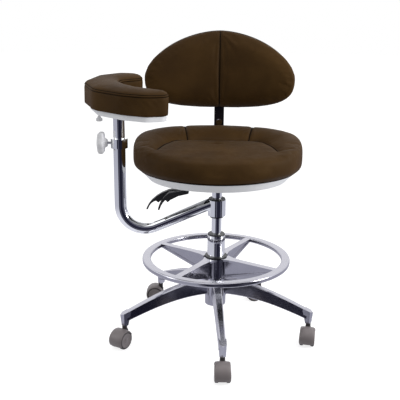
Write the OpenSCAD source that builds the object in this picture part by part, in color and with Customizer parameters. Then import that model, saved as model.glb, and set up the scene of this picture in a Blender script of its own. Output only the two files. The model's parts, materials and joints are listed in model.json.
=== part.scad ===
// Dentist stool with a gas lift, a foot ring, a tilting back and a swing arm rest.
// Origin on the floor under the column, +Z up, the seat faces -Y.

/* [Base] */
// Radius of the circle on which the casters stand
leg_reach = 273; // [260:1:285]
// Turn of the front leg from straight ahead, in degrees
leg_turn = 5; // [0:1:10]
// Outer diameter of the base hub
hub_d = 60; // [58:1:64]
// Height of the base hub's upper face
hub_top = 172; // [170:1:173]
// Height of the leg ends' lower face
leg_foot_z = 62; // [61:1:64]

/* [Casters] */
// Diameter of the caster wheels
wheel_d = 52; // [50:1:53]
// Width of one wheel
wheel_w = 12; // [11:0.5:13]
// Width over both wheels
caster_w = 44; // [43:1:48]
// Distance from the stem to the axle
caster_trail = 18; // [16:1:20]

/* [Column] */
// Outer diameter of the column
column_d = 50; // [48:1:52]
// Height of the column's top
column_top = 299; // [296:1:300]
// Diameter of the gas cylinder
gas_d = 28; // [27:0.5:28]

/* [Foot ring] */
// Outer radius of the foot ring
ring_r = 210.5; // [195:0.5:215]
// Radial width of the ring
ring_w = 24; // [20:1:28]
// Height of the ring's section
ring_h = 13; // [12:1:16]
// Height of the ring's upper face
ring_top = 234.8; // [232:0.1:238]

/* [Seat] */
// Width of the seat
seat_w = 467; // [440:1:480]
// Reach of the seat in front of the column
seat_front = 206; // [190:1:215]
// Reach of the seat behind the column
seat_rear = 190; // [180:1:195]
// Height of the cushion's lower edge
seat_z = 490; // [488:1:492]

/* [Back] */
// Half width of the back
back_half_w = 219; // [200:1:225]
// Lowest point of the back
back_low = 626; // [622:1:632]
// Highest point of the back
back_high = 859; // [842:1:872]
// Radius of the back's front face
back_curve_r = 400; // [390:1:410]

/* [Swing arm] */
// Distance from the column to the arm's upright tube
arm_reach = 268.5; // [266:0.5:272]
// Direction of the arm, from +X towards +Y
arm_turn = 188; // [182:1:192]
// Outer diameter of the arm tube
arm_d = 33; // [32.8:0.1:34]
// Slope of the arm below the level
arm_slope = 21.7; // [20:0.1:23]
// Bend radius of the arm tube's centreline
arm_bend_r = 68; // [60:1:72]
// Height at which the arm leaves its collar
arm_root_z = 388; // [386:1:390]

/* [Arm rest] */
// Height of the arm pad over its pan
pad_h = 62; // [50:1:64]
// Slope of the arm pad, front end down
pad_tilt = 5; // [3:0.5:6]
// Direction across the arm pad's slope
pad_turn = 24; // [15:1:30]
// Height of the pan under the arm pad
pan_h = 13; // [11:1:15]

/* [Hidden] */
$fn = 96;
small_fn = 48;
fit = 0.05;         // radial clearance of a running fit
gap = 0.3;          // clearance between curved faces that only pass
eps = 0.5;          // overlap of cutters past a face

CASTERS = [0, 1, 2, 3, 4];
front_leg = leg_turn - 90;
leg_step = 72;
// direction in which each caster trails, from +X towards +Y
trail_dir = [-88, -100, 192, 182, -121];
leg_w = 30;
hub_foot = 90;
leg_end_w = 20.5;

wheel_r = wheel_d / 2;
hood_r = wheel_r + 2.5;
axle_z = wheel_r;
axle_r = 2;
stem_r = 5;
socket_r = 6.5;

column_r = column_d / 2;
column_foot = 92;
column_bore = column_r - 2;
cap_foot = 285.5;
gas_r = gas_d / 2;
gas_foot = 166;
gas_top = 460;
gas_bore = 12;
rod_r = 5;
pin_r = 4;
bush_foot = 232;

ring_mid_r = ring_r - ring_w / 2;
ring_hub_r = 31;
ring_hub_foot = 175;
ring_spoke_dir = [59, 149, 239, 329];
ring_bush_r = 27.5;
ring_knob_dir = 104;
ring_knob_z = 215;
ring_hub_top = 232;

mech_x = 50;        // half width of the seat mechanism's housing
mech_y = 70;        // half depth of it
mech_low = 444;
socket_low = 430;   // lower end of the gas cylinder's socket
mech_top = 485;
flange_t = 5;
board_t = 12;
pan_low = 467;
lever_pin = [-30, 458];
lever_a_y = -30;
lever_b_y = -58;

back_axis = [0, -200];
back_mid = 722;
back_pivot = [88, 456];
pad_t = 36;
back_board_t = 8;
back_shell_t = 6;
board_r = back_curve_r + pad_t + gap;
shell_r = board_r + back_board_t + gap;
upright_y = shell_r + back_shell_t + back_axis[1] + gap;
upright_t = 7;
bracket_y = upright_y + upright_t + gap;
bracket_t = 8;
bar_w = 30;
bolt_z = 581;
slot_l = 50;
screw_x = 20;
screw_z = [688, 748];

collar_r = 25;
collar_z = [356, 402];
collar_bush_r = 17;
post_r = 15.5;
clamp_z = [552, 578];
clamp_screw_z = 565;
clamp_turn = -6;
post_foot = 450;
post_top = 646;
plate_t = 5;
spigot_r = 6;
pan_z = 656.5;      // underside of the pan over the post
pan_inset = 7;
// the arm pad's spine: how far along X and Y from the post, and half the width there
pad_spine = [
    [118, -103, 26], [86, -103, 38], [44, -91, 42], [-6, -55, 50],
    [-36, 2, 46], [-31, 65, 38], [4, 103, 40], [22, 109, 36]
];

// ---- shared functions and shapes ----

// a point of a cubic Bezier curve
function bez(a, b, c, d, t) =
    a * pow(1 - t, 3) + 3 * b * t * pow(1 - t, 2) + 3 * c * t * t * (1 - t) + d * t * t * t;

// a rounded power with its sign
function spow(v, e) = sign(v) * pow(abs(v), e);

// an oval with its own reach in front of and behind its centre
function oval(half_w, front, rear, n, steps = 60) = [
    for (i = [0:steps - 1])
        let (t = 360 * i / steps, s = sin(t))
        [half_w * spow(cos(t), 2 / n), (s < 0 ? front : rear) * spow(s, 2 / n)]
];

// corner points of a rectangle with rounded corners, centred
function rounded(w, h, r, steps = 4) = [
    for (q = [0:3], i = [0:steps])
        let (t = 90 * q + 90 * i / steps, sx = (q == 0 || q == 3) ? 1 : -1, sy = q < 2 ? 1 : -1)
        [sx * (w / 2 - r) + r * cos(t), sy * (h / 2 - r) + r * sin(t)]
];

module tube(outer_r, inner_r, h, fn = $fn) {
    difference() {
        cylinder(r = outer_r, h = h, $fn = fn);
        translate([0, 0, -eps]) cylinder(r = inner_r, h = h + 2 * eps, $fn = fn);
    }
}

// a cylinder with both ends tapered, centred
module barrel(r, end_r, w, taper) {
    rotate_extrude($fn = 64) polygon([[0, -w / 2], [end_r, -w / 2], [r, -w / 2 + taper],
        [r, w / 2 - taper], [end_r, w / 2], [0, w / 2]]);
}

module at_leg(i) {
    rotate([0, 0, front_leg + leg_step * i]) children();
}

module at_caster(i) {
    at_leg(i) translate([leg_reach, 0, 0])
        rotate([0, 0, trail_dir[i] - front_leg - leg_step * i]) children();
}

// a closed skin through rings that all have the same number of points
module loft(rings) {
    n = len(rings[0]);
    m = len(rings);
    lower = [
        for (j = [0:m - 2], i = [0:n - 1]) let (k = (i + 1) % n) [j * n + i, (j + 1) * n + k, j * n + k]
    ];
    upper = [
        for (j = [0:m - 2], i = [0:n - 1]) let (k = (i + 1) % n) [j * n + i, (j + 1) * n + i, (j + 1) * n + k]
    ];
    first = [for (i = [1:n - 2]) [0, i, i + 1]];
    last = [for (i = [1:n - 2]) [(m - 1) * n, (m - 1) * n + i + 1, (m - 1) * n + i]];
    polyhedron([for (ring = rings, p = ring) p], concat(first, lower, upper, last), convexity = 6);
}

// ---- base ----

leg_top_curve = [[18, 170], [110, 168], [180, 140], [268, 102]];
leg_low_curve = [[18, 125], [110, 127], [170, 110], [268, 74]];
function leg_point(curve, t) = bez(curve[0], curve[1], curve[2], curve[3], t);

// one cross-section of a leg, with bevelled edges and drafted sides
function leg_ring(t) =
    let (
        top = leg_point(leg_top_curve, t),
        low = leg_point(leg_low_curve, t),
        w = leg_w + (leg_end_w - leg_w) * t,
        wt = w / 2 - 2.5,
        wl = w / 2,
        c = 2.5
    )
    [
        [low[0], -wl + c, low[1]], [low[0], wl - c, low[1]], [low[0], wl, low[1] + c],
        [top[0], wt, top[1] - c], [top[0], wt - c, top[1]], [top[0], -wt + c, top[1]],
        [top[0], -wt, top[1] - c], [low[0], -wl, low[1] + c]
    ];

module leg() {
    loft([for (t = [0:1 / 12:1.001]) leg_ring(t)]);
    leg_nose();
}

// a prow seen from above: its rear, its shoulders, its tip and its half width
function prow(rear, shoulder, tip, half) =
    [[rear, -half], [shoulder, -half], [tip, 0], [shoulder, half], [rear, half]];

// the prow-shaped end over the caster's stem
module leg_nose() {
    intersection() {
        hull() {
            translate([0, 0, leg_foot_z]) linear_extrude(1) polygon(prow(264.5, 276, 281.5, 8.5));
            translate([0, 0, leg_foot_z + 40]) linear_extrude(1) polygon(prow(256, 277, 286, leg_end_w / 2));
        }
        rotate([90, 0, 0]) linear_extrude(40, center = true)
            polygon([[250, leg_foot_z - 5], [290, leg_foot_z - 5], [290, 89], [283, 95], [268, 101.5],
                [250, 108]]);
    }
}

module star_base() {
    color("#9a9aaa") difference() {
        union() {
            for (i = CASTERS) at_leg(i) leg();
            translate([0, 0, hub_foot]) cylinder(r = hub_d / 2, h = hub_top - hub_foot);
            translate([0, 0, hub_foot + 32]) cylinder(r = hub_d / 2 + 5, h = 46);
        }
        translate([0, 0, column_foot]) cylinder(r = column_r + fit, h = 100);
        translate([0, 0, hub_foot - eps]) cylinder(r = 16, h = 10);
        for (i = CASTERS) at_leg(i) translate([leg_reach, 0, leg_foot_z - eps])
            cylinder(r = socket_r + fit, h = 30 + eps, $fn = small_fn);
    }
}

module caster_sockets() {
    color("#555560") for (i = CASTERS) at_leg(i) translate([leg_reach, 0, leg_foot_z])
        difference() {
            cylinder(r = socket_r, h = 30, $fn = small_fn);
            translate([0, 0, -eps]) cylinder(r = stem_r + fit, h = 28 + eps, $fn = small_fn);
        }
}

// ---- casters, drawn with the stem at the origin and the axle trailing on +X ----

module caster_hood(i) {
    web = caster_w / 2 - wheel_w - 0.8;
    stem_foot = 36;
    color("#7d7474") at_caster(i) difference() {
        union() {
            translate([caster_trail, 0, axle_z]) rotate([90, 0, 0])
                barrel(hood_r, hood_r - 5, caster_w, 4);
            cylinder(r = 7, h = leg_foot_z - 0.6, $fn = small_fn);
        }
        // room for the two wheels
        for (s = [-1, 1]) translate([caster_trail, s * (web + 20), axle_z]) rotate([90, 0, 0])
            cylinder(r = wheel_r + 0.7, h = 40, center = true, $fn = small_fn);
        // open below, and round the wheels on the stem's side
        translate([-40, -50, -20]) cube([100, 100, 25]);
        for (s = [-1, 1]) translate([-32, s * (web + 20) - 20, -4]) cube([50, 40, 28]);
        translate([-32, -30, -5]) cube([28, 60, 25]);
        // axle and stem bores
        translate([caster_trail, 0, axle_z]) rotate([90, 0, 0])
            cylinder(r = axle_r + fit, h = 60, center = true, $fn = small_fn);
        translate([0, 0, stem_foot]) cylinder(r = stem_r, h = 40, $fn = small_fn);
    }
}

module caster_stem(i) {
    color("#888890") at_caster(i) {
        translate([0, 0, 36]) cylinder(r = stem_r, h = leg_foot_z - 12, $fn = small_fn);
        translate([caster_trail, 0, axle_z]) rotate([90, 0, 0])
            cylinder(r = axle_r, h = caster_w - 8.2, center = true, $fn = small_fn);
    }
}

// one wheel: bored from its inner face, with a tapered outer edge
module wheel() {
    bore = axle_r + fit;
    depth = wheel_w - 4;
    rotate_extrude($fn = 64) polygon([[bore, 0], [wheel_r, 0], [wheel_r, wheel_w - 3],
        [wheel_r - 4, wheel_w], [0, wheel_w], [0, depth], [bore, depth]]);
}

module caster_wheels(i) {
    color("#3a3636") at_caster(i) for (s = [-1, 1])
        translate([caster_trail, s * (caster_w / 2 - wheel_w), axle_z]) rotate([-s * 90, 0, 0]) wheel();
}

// ---- column and gas lift ----

module outer_column() {
    color("#c8c8cc") translate([0, 0, column_foot]) difference() {
        cylinder(r = column_r, h = column_top - 3 - column_foot);
        translate([0, 0, 4]) cylinder(r = column_bore, h = 300);
        translate([0, 0, -eps]) cylinder(r = 8.2, h = 10, $fn = small_fn);
    }
}

module column_cap() {
    color("#d8d8dc") translate([0, 0, cap_foot])
        tube(column_r + 0.8, column_r + fit, column_top - cap_foot);
}

module guide_bush() {
    color("#151517") difference() {
        union() {
            translate([0, 0, bush_foot]) cylinder(r = column_bore - fit, h = column_top - bush_foot);
            translate([0, 0, column_top - 3 + fit]) cylinder(r = column_r - fit, h = 4);
            translate([0, 0, column_top + 1]) cylinder(r1 = column_r, r2 = column_r - 2, h = 3);
        }
        translate([0, 0, bush_foot - eps]) cylinder(r = gas_r + fit, h = 100);
    }
}

module thrust_bearing() {
    color("#77777c") {
        translate([0, 0, column_foot + 4 + fit]) tube(12, rod_r + 0.2, 5, small_fn);
        translate([0, 0, column_foot + 9.1 + fit]) tube(12, rod_r + 0.2, 1.5, small_fn);
    }
}

module piston_rod() {
    color("#c0c0c4") {
        translate([0, 0, 86]) cylinder(r = rod_r, h = 216, $fn = small_fn);
        translate([0, 0, 103]) cylinder(r = 9, h = 3, $fn = small_fn);
        translate([0, 0, 87]) cylinder(r = 7.8, h = 2.5, $fn = small_fn);
        translate([0, 0, 290]) cylinder(r = gas_bore - fit, h = 10, $fn = small_fn);
    }
}

module gas_cylinder() {
    color("#d0d0d4") difference() {
        translate([0, 0, gas_foot]) cylinder(r = gas_r, h = gas_top - gas_foot);
        translate([0, 0, gas_foot + 18]) cylinder(r = gas_bore, h = 258, $fn = small_fn);
        translate([0, 0, gas_foot - eps]) cylinder(r = rod_r + fit, h = 30, $fn = small_fn);
        translate([0, 0, 445]) cylinder(r = pin_r + fit, h = 30, $fn = small_fn);
    }
}

module release_pin() {
    color("#b09040") translate([0, 0, 450]) cylinder(r = pin_r, h = 17, $fn = small_fn);
}

// ---- foot ring ----

module ring_spoke() {
    top_flange_t = 6;
    top = ring_top - 0.6;
    reach = ring_r - ring_w + 7;
    low = ring_top - ring_h + 2.5;
    foot = ring_hub_foot + 1.5;
    // top flange, flared at the hub
    translate([0, 0, top - top_flange_t]) linear_extrude(top_flange_t)
        polygon([[29, -21], [36, -18], [50, -13], [80, -10], [reach, -9.5],
            [reach, 9.5], [80, 10], [50, 13], [36, 18], [29, 21]]);
    // web
    rotate([90, 0, 0]) linear_extrude(7, center = true)
        polygon([[29, foot + 1], [34, foot + 1], [reach - 1, low + 1], [reach - 1, top - 2], [29, top - 2]]);
    // rim along the web's lower edge
    rotate([90, 0, 0]) linear_extrude(15, center = true)
        polygon([[28.5, foot], [34, foot], [reach - 2, low], [reach - 2, low + 5], [34, foot + 6],
            [28.5, foot + 6]]);
}

module foot_ring() {
    color("#a8a8b8") difference() {
        union() {
            rotate_extrude() translate([ring_mid_r, ring_top - ring_h / 2])
                polygon(rounded(ring_w, ring_h, 4));
            for (a = ring_spoke_dir) rotate([0, 0, a]) ring_spoke();
            translate([0, 0, ring_hub_foot]) cylinder(r = ring_hub_r, h = ring_hub_top - ring_hub_foot);
        }
        translate([0, 0, ring_hub_foot - eps]) cylinder(r = ring_bush_r + fit, h = 80);
        rotate([0, 0, ring_knob_dir]) translate([0, 0, ring_knob_z]) rotate([0, 90, 0])
            cylinder(r = 4 + fit, h = 40, $fn = small_fn);
    }
}

module foot_ring_bush() {
    color("#161618") difference() {
        union() {
            translate([0, 0, ring_hub_foot + 1]) cylinder(r = ring_bush_r, h = 60);
            translate([0, 0, ring_top + fit]) cylinder(r = ring_hub_r + 0.5, h = 2.5);
        }
        translate([0, 0, ring_hub_foot - eps]) cylinder(r = column_r + fit, h = 80);
        rotate([0, 0, ring_knob_dir]) translate([0, 0, ring_knob_z]) rotate([0, 90, 0])
            cylinder(r = 4 + gap, h = 40, $fn = small_fn);
    }
}

module lobed_knob(r, h, lobes, depth) {
    difference() {
        cylinder(r = r, h = h, $fn = small_fn);
        for (i = [0:lobes - 1]) rotate([0, 0, 360 * i / lobes]) translate([r + depth, 0, -eps])
            cylinder(r = depth * 2, h = h + 2 * eps, $fn = 32);
    }
}

module foot_ring_knob() {
    color("#18181a") rotate([0, 0, ring_knob_dir]) translate([0, 0, ring_knob_z])
        rotate([0, 90, 0]) {
            translate([0, 0, column_r + gap]) cylinder(r = 4, h = 30, $fn = small_fn);
            translate([0, 0, 44]) cylinder(r = 8, h = 8, $fn = small_fn);
            translate([0, 0, 51]) lobed_knob(17, 16, 6, 3.5);
        }
}

// ---- seat ----

module seat_mechanism() {
    wall = 3;
    color("#2a2a2c") difference() {
        union() {
            difference() {
                translate([-mech_x, -mech_y, mech_low])
                    cube([2 * mech_x, 2 * mech_y, mech_top - mech_low]);
                translate([-mech_x + wall, -mech_y + wall, mech_low - eps])
                    cube([2 * (mech_x - wall), 2 * (mech_y - wall), mech_top - mech_low + 2 * eps]);
            }
            // plate that carries the gas cylinder's socket
            translate([-mech_x, -20, mech_low]) cube([2 * mech_x, 40, 4]);
            translate([0, 0, socket_low]) cylinder(r = 19, h = 29);
            // flange under the board
            translate([-75, -95, mech_top]) cube([150, 190, flange_t]);
            // ears for the back's pivot
            for (s = [-1, 1]) translate([s * 19 - 3, mech_y - 1, mech_low]) cube([6, 33, 22]);
        }
        translate([0, 0, socket_low - eps]) cylinder(r = gas_r + 0.02, h = 60);
        // slot for the levers in the left wall
        translate([-mech_x - eps, -66, mech_low - eps]) cube([wall + 2 * eps, 44, 26]);
        // lever pin and pivot bores
        translate([lever_pin[0], 0, lever_pin[1]]) rotate([90, 0, 0])
            cylinder(r = 3.02, h = 200, $fn = small_fn);
        translate([0, back_pivot[0], back_pivot[1]]) rotate([0, 90, 0])
            cylinder(r = 5.02, h = 100, center = true, $fn = small_fn);
        for (x = [-60, 60], y = [-80, 80]) translate([x, y, mech_top - eps])
            cylinder(r = 4.2, h = 20, $fn = small_fn);
    }
}

module seat_board() {
    color("#c8a878") translate([0, 0, seat_z]) difference() {
        linear_extrude(board_t) polygon(oval(seat_w / 2 - 30, seat_front - 28, seat_rear - 20, 2));
        for (x = [-60, 60], y = [-80, 80]) translate([x, y, -eps])
            cylinder(r = 4.02, h = 20, $fn = small_fn);
    }
}

module pan_body(inset, low) {
    hull() {
        translate([0, 0, seat_z - 1]) linear_extrude(1)
            polygon(oval(212 - inset, seat_front - 14 - inset, seat_rear - 12 - inset, 1.9));
        translate([0, 0, low]) linear_extrude(1)
            polygon(oval(190 - inset, seat_front - 32 - inset, seat_rear - 28 - inset, 2));
    }
}

module seat_pan() {
    color("#f2f2f4") difference() {
        pan_body(0, pan_low);
        difference() {
            pan_body(3, pan_low + 3);
            translate([-300, -300, pan_low - 5]) cube([600, 600, 8]);
        }
        translate([-80, -100, seat_z - 2]) cube([160, 200, 5]);
        translate([-62, -82, pan_low - 5]) cube([124, 164, 15]);
    }
}

module cushion_slice(z, half_w, front, rear, n) {
    translate([0, 0, z]) linear_extrude(1) polygon(oval(half_w, front, rear, n));
}

module seat_cushion() {
    w = seat_w / 2;
    color("#46331f") difference() {
        hull() {
            cushion_slice(seat_z, w - 17, seat_front - 9, seat_rear - 9, 1.9);
            cushion_slice(seat_z + 34, w, seat_front, seat_rear, 2.1);
            cushion_slice(seat_z + 52, w - 4, seat_front - 8, seat_rear - 2, 2.1);
            translate([0, 10, 0]) cushion_slice(seat_z + 72, w - 14, 112, seat_rear - 20, 2.2);
            translate([0, 80, 0]) cushion_slice(seat_z + 87, w - 36, 60, seat_rear - 96, 2.4);
        }
        // dish where the sitter's weight goes
        translate([0, -20, seat_z + 195]) scale([1.6, 1.15, 1]) sphere(r = 130, $fn = 60);
        translate([0, 0, seat_z - eps]) linear_extrude(board_t + gap + eps)
            polygon(oval(w - 30 + gap, seat_front - 28 + gap, seat_rear - 20 + gap, 2));
    }
}

module seat_screws() {
    color("#909096") for (x = [-60, 60], y = [-80, 80]) translate([x, y, 0]) {
        translate([0, 0, mech_top - 5]) cylinder(r = 6.5, h = 5, $fn = 6);
        translate([0, 0, mech_top - 1]) cylinder(r = 4, h = 16, $fn = small_fn);
    }
}

module lever_pin() {
    color("#909096") translate([lever_pin[0], 0, lever_pin[1]]) rotate([90, 0, 0])
        cylinder(r = 3, h = mech_y + 2, $fn = small_fn);
}

// a lever's bar from its pivot to its grip, drawn in X and Z
module lever_bar(y, w, points) {
    translate([0, y + w / 2, 0]) rotate([90, 0, 0]) linear_extrude(w) polygon(points);
}

module height_lever() {
    px = lever_pin[0];
    pz = lever_pin[1];
    color("#3a3a3e") difference() {
        union() {
            lever_bar(lever_a_y, 6, [[px, pz - 6], [px + 8, pz - 6], [-16, 468], [0, 468], [0, 472],
                [-20, 472], [px - 4, pz + 6], [-112, 436], [-110, 430]]);
            translate([-8, lever_a_y, 468]) cube([8, 33, 4]);
        }
        translate([px, 0, pz]) rotate([90, 0, 0])
            cylinder(r = 3 + fit, h = 200, center = true, $fn = small_fn);
    }
}

module back_lever() {
    px = lever_pin[0];
    pz = lever_pin[1];
    color("#3a3a3e") difference() {
        lever_bar(lever_b_y, 6, [[px, pz - 6], [px + 9, pz], [px + 20, pz + 14], [px + 14, pz + 17],
            [px - 4, pz + 6], [-112, 436], [-110, 430]]);
        translate([px, 0, pz]) rotate([90, 0, 0])
            cylinder(r = 3 + fit, h = 200, center = true, $fn = small_fn);
    }
}

// a grip on the bar's end, with a finger that hooks down, drawn in X and Z
module lever_grip(y, w, outline) {
    color("#101012") difference() {
        translate([0, y + w / 2, 0]) rotate([90, 0, 0]) linear_extrude(w)
            offset(r = 1.5, $fn = 24) offset(delta = -1.5) polygon(outline);
        translate([-116, y - 3 - fit, 400]) cube([60, 6 + 2 * fit, 60]);
    }
}

module height_grip() {
    tip = [-195, 381];
    lever_grip(lever_a_y, 17, [
        [-76, 444], [-106, 440], [-134, 435],
        for (t = [0.2:0.2:1]) bez([-134, 435], [-165, 424], [-188, 402], tip, t),
        tip + [2, -2],
        for (t = [0:0.25:1]) bez(tip + [5, 0], [-184, 398], [-176, 402], [-168, 405], t),
        [-161, 400], [-155, 405], [-140, 411], [-106, 428], [-76, 434]
    ]);
}

module back_grip() {
    tip = [-160, 389];
    lever_grip(lever_b_y, 17, [
        [-76, 446], [-104, 440], [-130, 435],
        for (t = [0.2:0.2:1]) bez([-130, 435], [-146, 422], [-157, 405], tip, t),
        tip + [1.5, -3],
        for (t = [0:0.25:1]) bez(tip + [5, -1], [-151, 400], [-147, 408], [-139, 415], t),
        [-133, 409], [-125, 416], [-104, 427], [-76, 434]
    ]);
}

// ---- back ----

module back_bracket() {
    bend = 34;
    y0 = back_pivot[0];
    z0 = back_pivot[1];
    color("#141416") difference() {
        union() {
            translate([-15.5, 0, 0]) rotate([90, 0, 90]) linear_extrude(31)
                union() {
                    translate([y0, z0]) circle(r = 10, $fn = small_fn);
                    translate([y0, z0 - 5]) square([bracket_y + bracket_t - bend - y0, 8]);
                }
            translate([-bar_w / 2, bracket_y + bracket_t - bend, z0 - 5 + bend])
                rotate([90, 0, 90]) rotate([0, 0, -90]) linear_extrude(bar_w) intersection() {
                    difference() {
                        circle(r = bend);
                        circle(r = bend - bracket_t);
                    }
                    square([50, 50]);
                }
            translate([-bar_w / 2, bracket_y, z0 - 5 + bend])
                cube([bar_w, bracket_t, 622 - z0 + 5 - bend]);
        }
        translate([0, y0, z0]) rotate([0, 90, 0])
            cylinder(r = 5 + fit, h = 60, center = true, $fn = small_fn);
        translate([0, bracket_y - eps, bolt_z]) rotate([-90, 0, 0])
            cylinder(r = 5 + fit, h = 20, $fn = small_fn);
    }
}

module back_pivot_pin() {
    color("#909096") translate([0, back_pivot[0], back_pivot[1]]) rotate([0, 90, 0])
        cylinder(r = 5, h = 48, center = true, $fn = small_fn);
}

module back_upright() {
    color("#18181a") difference() {
        union() {
            translate([-bar_w / 2, upright_y, 518]) cube([bar_w, upright_t, 274]);
            translate([-32, upright_y, 672]) cube([64, 4, 92]);
        }
        for (z = [bolt_z - slot_l, bolt_z]) translate([0, upright_y - eps, z]) rotate([-90, 0, 0])
            cylinder(r = 5.2, h = 20, $fn = small_fn);
        translate([-5.2, upright_y - eps, bolt_z - slot_l]) cube([10.4, 20, slot_l]);
        for (x = [-screw_x, screw_x], z = screw_z) translate([x, upright_y - eps, z])
            rotate([-90, 0, 0]) cylinder(r = 3.1, h = 20, $fn = small_fn);
    }
}

module back_bolt() {
    color("#d8d8dc") translate([0, 0, bolt_z]) {
        translate([0, upright_y - 1.8, 0]) rotate([-90, 0, 0])
            cylinder(r = 10, h = 1.5, $fn = small_fn);
        translate([0, upright_y - 6, 0]) rotate([-90, 0, 0])
            cylinder(r = 8, h = 4.3, $fn = small_fn);
        translate([0, upright_y - 2, 0]) rotate([-90, 0, 0])
            cylinder(r = 5, h = 26, $fn = small_fn);
        translate([0, bracket_y + bracket_t + gap, 0]) rotate([-90, 0, 0])
            cylinder(r = 9, h = 7, $fn = 6);
    }
}

// outline of the back seen from the front
function back_outline(inset, steps = 72) = [
    for (i = [0:steps - 1])
        let (t = 360 * i / steps, up = sin(t) >= 0, n = up ? 1.78 : 3,
            h = up ? back_high - back_mid - inset : back_mid - back_low - inset)
        [(back_half_w - inset) * spow(cos(t), 2 / n), back_mid + h * spow(sin(t), 2 / n)]
];

// a layer of the back: its outline bent round the back's axis
module back_layer(r, t, inset, fn = 128) {
    intersection() {
        translate([0, 300, 0]) rotate([90, 0, 0]) linear_extrude(300) polygon(back_outline(inset));
        translate([back_axis[0], back_axis[1], back_low - 10]) difference() {
            cylinder(r = r + t, h = 260, $fn = fn);
            translate([0, 0, -eps]) cylinder(r = r, h = 270, $fn = fn);
        }
    }
}

module back_screw_holes(r) {
    for (x = [-screw_x, screw_x], z = screw_z) translate([x, 150, z]) rotate([-90, 0, 0])
        cylinder(r = r, h = 150, $fn = small_fn);
}

module back_pad() {
    color("#46331f") back_layer(back_curve_r, pad_t, 0);
}

module back_board() {
    color("#c8a878") difference() {
        back_layer(board_r, back_board_t, 8);
        back_screw_holes(3.1);
    }
}

module back_shell() {
    color("#202022") difference() {
        back_layer(shell_r, back_shell_t, 4);
        back_screw_holes(3.1);
    }
}

module back_screws() {
    color("#909096") for (x = [-screw_x, screw_x], z = screw_z) translate([x, 0, z]) {
        translate([0, upright_y - 14, 0]) rotate([-90, 0, 0])
            cylinder(r = 3, h = 20, $fn = small_fn);
        translate([0, upright_y + 4 + gap, 0]) rotate([-90, 0, 0])
            cylinder(r = 5, h = 3, $fn = small_fn);
    }
}

// ---- swing arm, drawn along +X from the column and turned into place ----

module at_arm() {
    rotate([0, 0, arm_turn]) children();
}

module at_post() {
    at_arm() translate([arm_reach, 0, 0]) children();
}

bend_x = arm_reach - arm_bend_r;
low_x = bend_x - arm_bend_r * sin(arm_slope);
low_z = arm_root_z - (low_x - 22) * tan(arm_slope);
bend_z = low_z + arm_bend_r * cos(arm_slope);

module arm_path(r) {
    // sloping run
    translate([low_x, 0, low_z]) rotate([0, arm_slope - 90, 0])
        cylinder(r = r, h = low_x / cos(arm_slope));
    // bend
    translate([bend_x, 0, bend_z]) rotate([90, 0, 0]) rotate([0, 0, -90 - arm_slope])
        rotate_extrude(angle = 90 + arm_slope) translate([arm_bend_r, 0]) circle(r = r, $fn = small_fn);
    // upright run
    translate([arm_reach, 0, bend_z]) cylinder(r = r, h = clamp_z[1] - 2 - bend_z);
}

module arm_tube() {
    color("#c8c8cc") at_arm() difference() {
        arm_path(arm_d / 2);
        arm_path(post_r + fit);
        translate([0, 0, 282]) cylinder(r = collar_r + fit, h = 200);
        translate([arm_reach, 0, clamp_z[0]]) cylinder(r = post_r + fit, h = 60);
        translate([arm_reach, 0, clamp_screw_z]) rotate([0, 90, clamp_turn])
            cylinder(r = 4.2, h = 40, $fn = small_fn);
    }
}

module arm_collar() {
    color("#d0d0d4") translate([0, 0, collar_z[0]])
        tube(collar_r, collar_bush_r + 0.02, collar_z[1] - collar_z[0]);
}

module arm_collar_bush() {
    color("#161618") difference() {
        union() {
            translate([0, 0, collar_z[0] - 1]) cylinder(r = collar_bush_r, h = collar_z[1] - collar_z[0] + 2);
            translate([0, 0, collar_z[1] + fit]) cylinder(r1 = collar_r - 0.5, r2 = collar_r - 2, h = 4);
            translate([0, 0, collar_z[0] - 2 - fit]) cylinder(r = collar_r - 4, h = 2);
        }
        translate([0, 0, collar_z[0] - 4]) cylinder(r = gas_r + fit, h = 60);
    }
}

module arm_stop_ring() {
    color("#303034") translate([0, 0, collar_z[0] - 5.2]) tube(19, gas_r + 0.02, 2.8);
}

module clamp_collar() {
    color("#d0d0d4") at_post() difference() {
        translate([0, 0, clamp_z[0]]) cylinder(r = 23, h = clamp_z[1] - clamp_z[0]);
        translate([0, 0, clamp_z[0] - eps]) cylinder(r = arm_d / 2 + fit, h = 24.5);
        translate([0, 0, clamp_z[0]]) cylinder(r = post_r + fit, h = 60);
        translate([0, 0, clamp_screw_z]) rotate([0, 90, clamp_turn])
            cylinder(r = 4 + fit, h = 40, $fn = small_fn);
    }
}

module clamp_knob() {
    color("#e8e8ea") at_post() translate([0, 0, clamp_screw_z]) rotate([0, 90, clamp_turn]) {
        translate([0, 0, post_r + gap]) cylinder(r = 4, h = 24, $fn = small_fn);
        translate([0, 0, 33]) cylinder(r1 = 12, r2 = 14, h = 5.5, $fn = small_fn);
        translate([0, 0, 38]) lobed_knob(31, 21, 6, 7);
    }
}

module arm_post() {
    color("#c8c8cc") at_post() {
        translate([0, 0, post_foot]) tube(post_r, post_r - 1.6, post_top - 4 - post_foot);
        translate([0, 0, post_top - 4]) cylinder(r = post_r, h = 4);
        translate([0, 0, post_top - 1]) cylinder(r = spigot_r, h = 17, $fn = small_fn);
    }
}

module arm_plate() {
    color("#707076") at_post() translate([0, 0, post_top + 0.1])
        tube(24, spigot_r + fit, plate_t, small_fn);
}

// the outline of the arm pad, seen from above with the post at the origin
module pad_outline(inset) {
    offset(r = -30 - inset, $fn = 64) offset(r = 30, $fn = 64)
        for (i = [0:len(pad_spine) - 2]) hull() for (p = [pad_spine[i], pad_spine[i + 1]])
            translate([p[0], p[1]]) circle(r = p[2], $fn = 64);
}

// the pad's own frame: over the post, its front end tilted down
module at_pad() {
    at_post() translate([0, 0, pan_z]) rotate([0, 0, pad_turn - arm_turn]) rotate([pad_tilt, 0, 0])
        rotate([0, 0, -pad_turn]) children();
}

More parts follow.
